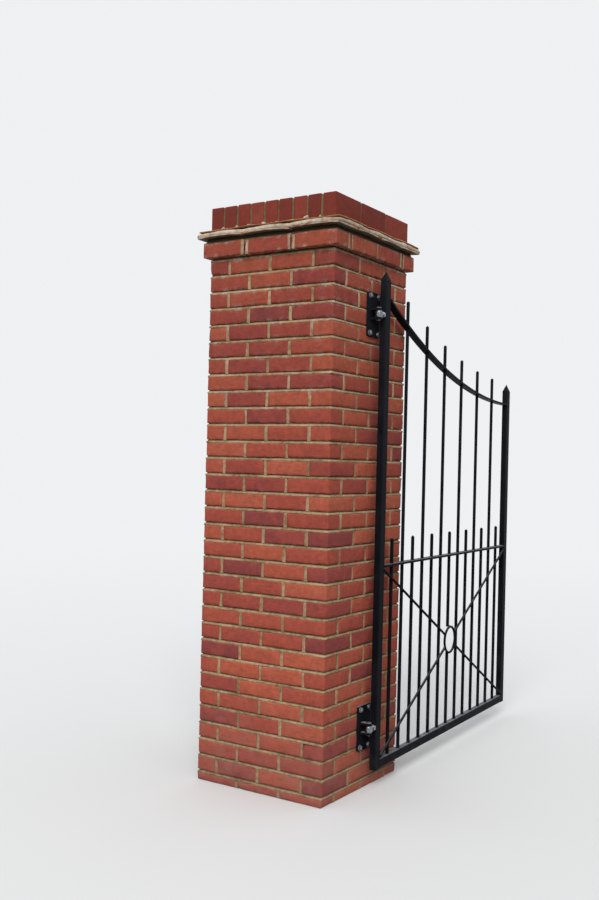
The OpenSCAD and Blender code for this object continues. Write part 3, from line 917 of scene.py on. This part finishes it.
def place_part(part, matrix):
    """Moves a part, and turns its faces round if the matrix mirrors it."""
    points, faces, values = part
    matrix = np.array(matrix)
    moved = points @ matrix[:3, :3].T + matrix[:3, 3]
    if np.linalg.det(matrix[:3, :3]) < 0:
        faces = [face[::-1] for face in faces]
    return moved, faces, values


def make_zinc(name, dark, bright, gloss, bloom, edge_radius=0.0009):
    """Zinc plating: a soft crystalline mottle between two greys, dulled here and there by bloom."""
    material, tree, shader = new_material(name)
    place = object_place(tree)
    mottle = add_noise(tree, place, 140.0, 4.0)
    patch = add_noise(tree, place, 45.0, 5.0)
    dull = add_range(tree, patch, 0.62 - bloom, 0.80 - bloom, 0.0, 0.60)
    colour = add_ramp(tree, mottle, [(0.30, dark), (0.70, bright)])
    colour = add_mix(tree, dull, colour, tuple(0.55 * c for c in dark))
    polish = add_range(tree, mottle, 0.3, 0.7, gloss, gloss + 0.12)
    edge = use_group(tree, worn_edge, Radius=edge_radius)["Normal"]
    connect(tree, shader, {
        "Base Color": colour,
        "Metallic": 1.0,
        "Roughness": add_math(tree, "MULTIPLY_ADD", dull, 0.4, polish),
        "Normal": add_bump(tree, mottle, 0.0002, 0.5, over=edge),
    })
    return material


bolt_zinc = make_zinc(
    "bolt_zinc", dark=(0.15, 0.155, 0.17), bright=(0.40, 0.41, 0.44),
    gloss=0.34, bloom=0.16,
)
for side in SIDES:
    for hinge in HINGES:
        low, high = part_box(f"{side}_{hinge}_hinge_plate")
        middle_y, middle_z = (low.y + high.y) / 2, (low.z + high.z) / 2
        rng = np.random.default_rng(61)
        parts = []
        for y in (-BOLT_Y, BOLT_Y):
            for z in (-BOLT_Z, BOLT_Z):
                seat = (
                    Matrix.Translation((PLATE_FACE[side], middle_y + y, middle_z + z))
                    @ Matrix.Diagonal((HAND[side], 1, 1, 1))
                    @ Matrix.Rotation(rng.uniform(0, math.pi / 3), 4, "X")
                )
                parts.append(place_part(turned_profile(WASHER, 32), seat))
                parts.append(place_part(turned_profile(BOLT_HEAD, 48, BOLT_FLATS), seat))
        piece = build_piece(f"{side}_{hinge}_plate_bolts", parts, bolt_zinc, crease=math.radians(28))
        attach(piece, "piers")

# Hinge pins and eye bolts
# Headed pins drop through the lugs and the eyes. Each eye's shank is screwed into the hinge stile up
# to a lock nut, so the leaf can be set true. The eyes are bright zinc, the pins have gone dull.
eye_zinc = make_zinc(
    "eye_zinc", dark=(0.13, 0.14, 0.16), bright=(0.36, 0.39, 0.43),
    gloss=0.17, bloom=0.05, edge_radius=0.0045,
)
pin_zinc = make_zinc(
    "pin_zinc", dark=(0.20, 0.175, 0.165), bright=(0.40, 0.37, 0.36),
    gloss=0.42, bloom=0.14,
)
for side in SIDES:
    for hinge in HINGES:
        finish_node(f"{side}_{hinge}_hinge_pin", pin_zinc)
        finish_node(f"{side}_{hinge}_eye_bolt", eye_zinc)

# Leaf frame, rails, bars, braces and ring
# Box section stiles and bottom rail, flat bar rails punched for round bars, and round rod braces
# about a ring, all welded up and sprayed black as one leaf.
FLAT_NODES = (
    "hinge_stile", "hinge_stile_point", "meeting_stile", "meeting_stile_point", "bottom_rail",
    "middle_rail", "swept_top_rail",
)
ROUND_NODES = ("long_bars", "short_bars", "cross_braces", "ring")
bar_paint = make_black_paint("bar_paint", dust_and_sheen_amount=0.36)
for side in SIDES:
    for name in FLAT_NODES:
        finish_node(f"{side}_{name}", black_paint)
    for name in ROUND_NODES:
        finish_node(f"{side}_{name}", bar_paint)

# Weld beads
# Small rippled beads of weld metal, painted over, run round each bar's foot and where braces and
# bars meet the ring and the stiles. A leaf is drawn closed along X from its pin, then hung open.
PIN = (SHAFT_HALF + 0.042, 0.320 - SHAFT_HALF, 0.0)   # 42 mm off the pier, 320 mm behind its street face
OPEN = math.radians(91.9)
STILE_FAR, MEETING_NEAR = 0.092, 1.648
FIRST_BAR, BAR_PITCH, BAR_COUNT = 0.192, 0.113, 13
BAR_R, BRACE_R, RING_R = 0.008, 0.006, 0.066
RAIL_TOP, MIDDLE_RAIL_FOOT = 0.124, 0.988
BRACE_INSET = 0.014
PANEL_HALF_W, PANEL_HALF_H = (MEETING_NEAR - STILE_FAR) / 2, (MIDDLE_RAIL_FOOT - RAIL_TOP) / 2
RING_MIDDLE = Vector((STILE_FAR + PANEL_HALF_W, -(BAR_R + BRACE_R), RAIL_TOP + PANEL_HALF_H))
HUNG = {"left": Matrix.Translation(PIN) @ Matrix.Rotation(OPEN, 4, "Z")}
HUNG["right"] = Matrix.Translation((PIER_X["right"], 0, 0)) @ Matrix.Diagonal((-1, 1, 1, 1)) @ HUNG["left"]
RIPPLE = 0.16


def weld_bead(path, radius, closed, seed):
    """A rippled bead along a path of points."""
    rng = np.random.default_rng(seed)
    path = np.array([tuple(p) for p in path])
    count, around = len(path), 8
    ahead = np.roll(path, -1, axis=0) - np.roll(path, 1, axis=0) if closed else np.gradient(path, axis=0)
    ahead /= np.linalg.norm(ahead, axis=1, keepdims=True)
    aside = np.cross(ahead, np.array([0.31, 0.17, 0.93]))
    aside /= np.linalg.norm(aside, axis=1, keepdims=True)
    over = np.cross(ahead, aside)
    angle = (np.arange(around) / around * 2 * math.pi)[None, :, None]
    ripple = radius * (1 + RIPPLE * np.sin(np.arange(count) * 2.1) + rng.uniform(-0.12, 0.12, count))
    outward = np.cos(angle) * aside[:, None, :] + np.sin(angle) * over[:, None, :]
    points = (path[:, None, :] + ripple[:, None, None] * outward).reshape(-1, 3)
    faces = []
    for k in range(count if closed else count - 1):
        here, there = k * around, (k + 1) % count * around
        for i in range(around):
            j = (i + 1) % around
            faces.append([here + i, there + i, there + j, here + j])
    if not closed:
        foot, tip, last = count * around, count * around + 1, (count - 1) * around
        points = np.concatenate([points, path[:1], path[-1:]])
        faces += [[foot, i, (i + 1) % around] for i in range(around)]
        faces += [[tip, last + (i + 1) % around, last + i] for i in range(around)]
    return points, faces, {}


def ring_bead(middle, radius, steps, first, second, bead, seed):
    """A bead round a circle about middle, in the plane of two unit directions."""
    angles = [2 * math.pi * i / steps for i in range(steps)]
    middle, first, second = Vector(middle), Vector(first), Vector(second)
    path = [middle + radius * (math.cos(a) * first + math.sin(a) * second) for a in angles]
    return weld_bead(path, bead, closed=True, seed=seed)


def leaf_beads():
    """Every weld bead of a closed leaf."""
    beads = []
    for i in range(BAR_COUNT):
        foot = (FIRST_BAR + i * BAR_PITCH, 0.0, RAIL_TOP + 0.0004)
        beads.append(ring_bead(foot, BAR_R + 0.0008, 18, (1, 0, 0), (0, 1, 0), 0.0019, 70 + i))
    slope = math.atan2(PANEL_HALF_H - BRACE_INSET, PANEL_HALF_W)
    stile_reach = PANEL_HALF_W / math.cos(slope) - 0.0015
    ring_reach = RING_R + BRACE_R - 0.0012
    for n, (x, z) in enumerate(((-1, -1), (-1, 1), (1, -1), (1, 1))):
        along = Vector((x * math.cos(slope), 0, z * math.sin(slope)))
        across = (-along.z, 0, along.x)
        at_ring, at_stile = RING_MIDDLE + along * ring_reach, RING_MIDDLE + along * stile_reach
        beads.append(ring_bead(at_ring, BRACE_R - 0.0006, 14, across, (0, 1, 0), 0.0021, 90 + n))
        beads.append(ring_bead(at_stile, BRACE_R + 0.0004, 14, across, (0, 1, 0), 0.0019, 94 + n))
    for z in (-1, 1):
        seam = RING_MIDDLE + Vector((0, 0.0060, z * (RING_R + 0.0055)))
        path = [seam + Vector((x, 0, 0)) for x in np.linspace(-0.007, 0.007, 8)]
        beads.append(weld_bead(path, 0.0022, closed=False, seed=98 + z))
    return beads


for side in SIDES:
    beads = [place_part(bead, HUNG[side]) for bead in leaf_beads()]
    piece = build_piece(f"{side}_weld_beads", beads, bar_paint)
    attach(piece, f"{side}_leaf")

# Bar tips
# The smith dressed the top of every bar to a blunt round point. The paint lies thick on it.
# Short bars alternate with long ones, which rise as much above the swept rail everywhere.
SHORT_TOP = 1.110
LONG_RISE = 0.123
SWEEP_R, SWEEP_LOW = 3.400, 1.82106   # the swept rail's radius, and its height at the meeting stile
TIP = (
    (-0.0060, 0.0079), (-0.0050, 0.00812), (-0.0030, 0.0081), (-0.0010, 0.0074),
    (0.0014, 0.0059), (0.0034, 0.0040), (0.0046, 0.0022), (0.0050, 0.0008),
)
for side in SIDES:
    tips = []
    for i in range(BAR_COUNT):
        along = FIRST_BAR + i * BAR_PITCH
        sweep = SWEEP_LOW + SWEEP_R - math.sqrt(SWEEP_R ** 2 - (MEETING_NEAR - along) ** 2)
        top = Matrix.Translation((along, 0, sweep + LONG_RISE if i % 2 else SHORT_TOP))
        upright = Matrix.Rotation(math.radians(-90), 4, "Y")
        tips.append(place_part(turned_profile(TIP, 24), HUNG[side] @ top @ upright))
    piece = build_piece(f"{side}_bar_tips", tips, bar_paint, crease=math.radians(50))
    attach(piece, f"{side}_leaf")

# Floor, light and air
# A pale studio floor that runs out into a pale backdrop, a broad soft key light from the street side
# and even light from all round, at a level that leaves colours as they are written.
FLOOR_COLOUR = (0.74, 0.74, 0.735)
FLOOR_UNDER_LIGHT = (0.24, 0.235, 0.225)   # what the floor throws back at the gate
FLOOR_HALF = 160.0
FLOOR_FADES = (3.0, 13.0)
AIR_COLOUR = (0.86, 0.875, 0.89, 1.0)
SKY_COLOUR = (0.93, 0.965, 1.0, 1.0)
SKY_LOW, SKY_HIGH = 0.46, 0.92
KEY_FROM = Vector((0.36, -0.71, 0.60))


def seen_or_mirrored(tree):
    """1 where the camera looks straight at something, or at its reflection."""
    ray = add_node(tree, "ShaderNodeLightPath").outputs
    mirrored = add_math(tree, "MAXIMUM", ray["Is Glossy Ray"], ray["Is Transmission Ray"])
    return add_math(tree, "MAXIMUM", ray["Is Camera Ray"], mirrored)


middle = (cad_low + cad_high) / 2
corners = [
    (middle.x + x * FLOOR_HALF, middle.y + y * FLOOR_HALF, 0.0)
    for x, y in ((-1, -1), (1, -1), (1, 1), (-1, 1))
]
floor_mesh = bpy.data.meshes.new("floor")
floor_mesh.from_pydata(corners, [], [(0, 1, 2, 3)])
floor = bpy.data.objects.new("floor", floor_mesh)
scene.collection.objects.link(floor)
floor_material, tree, shader = new_material("studio_floor")
seen = seen_or_mirrored(tree)
connect(tree, shader, {
    "Base Color": add_mix(tree, seen, FLOOR_UNDER_LIGHT, FLOOR_COLOUR),
    "Roughness": 0.9,
    "Specular IOR Level": 0.1,
})
place = add_node(tree, "ShaderNodeNewGeometry").outputs["Position"]
away = add_node(tree, "ShaderNodeVectorMath", {0: place, 1: middle}, operation="DISTANCE").outputs["Value"]
fading = add_node(
    tree, "ShaderNodeMapRange", {"Value": away, "From Min": FLOOR_FADES[0], "From Max": FLOOR_FADES[1]},
    interpolation_type="SMOOTHSTEP",
)
far = add_math(tree, "MULTIPLY", fading.outputs["Result"], seen)
air = add_node(tree, "ShaderNodeEmission", {"Color": AIR_COLOUR, "Strength": 1.0})
blend = add_node(tree, "ShaderNodeMixShader", {0: far, 1: shader.outputs[0], 2: air.outputs[0]})
connect(tree, tree.nodes["Material Output"], {"Surface": blend.outputs[0]})
floor_mesh.materials.append(floor_material)

world = bpy.data.worlds.new("soft_air")
world.use_nodes = True
scene.world = world
tree = world.node_tree
sky = tree.nodes["Background"]
upward = upward_part(tree, add_node(tree, "ShaderNodeTexCoord").outputs["Generated"])
connect(tree, sky, {"Color": SKY_COLOUR, "Strength": add_range(tree, upward, 0.0, 1.0, SKY_LOW, SKY_HIGH)})
air = add_node(tree, "ShaderNodeBackground", {"Color": AIR_COLOUR, "Strength": 1.0})
blend = add_node(
    tree, "ShaderNodeMixShader", {0: seen_or_mirrored(tree), 1: sky.outputs[0], 2: air.outputs[0]},
)
connect(tree, tree.nodes["World Output"], {"Surface": blend.outputs[0]})

key = bpy.data.objects.new("key_light", bpy.data.lights.new("key_light", "SUN"))
key.data.energy = 2.05
key.data.angle = math.radians(35)
key.data.color = (1.0, 0.985, 0.96)
key.rotation_euler = KEY_FROM.to_track_quat("Z", "Y").to_euler()
scene.collection.objects.link(key)

scene.view_settings.view_transform = "Standard"
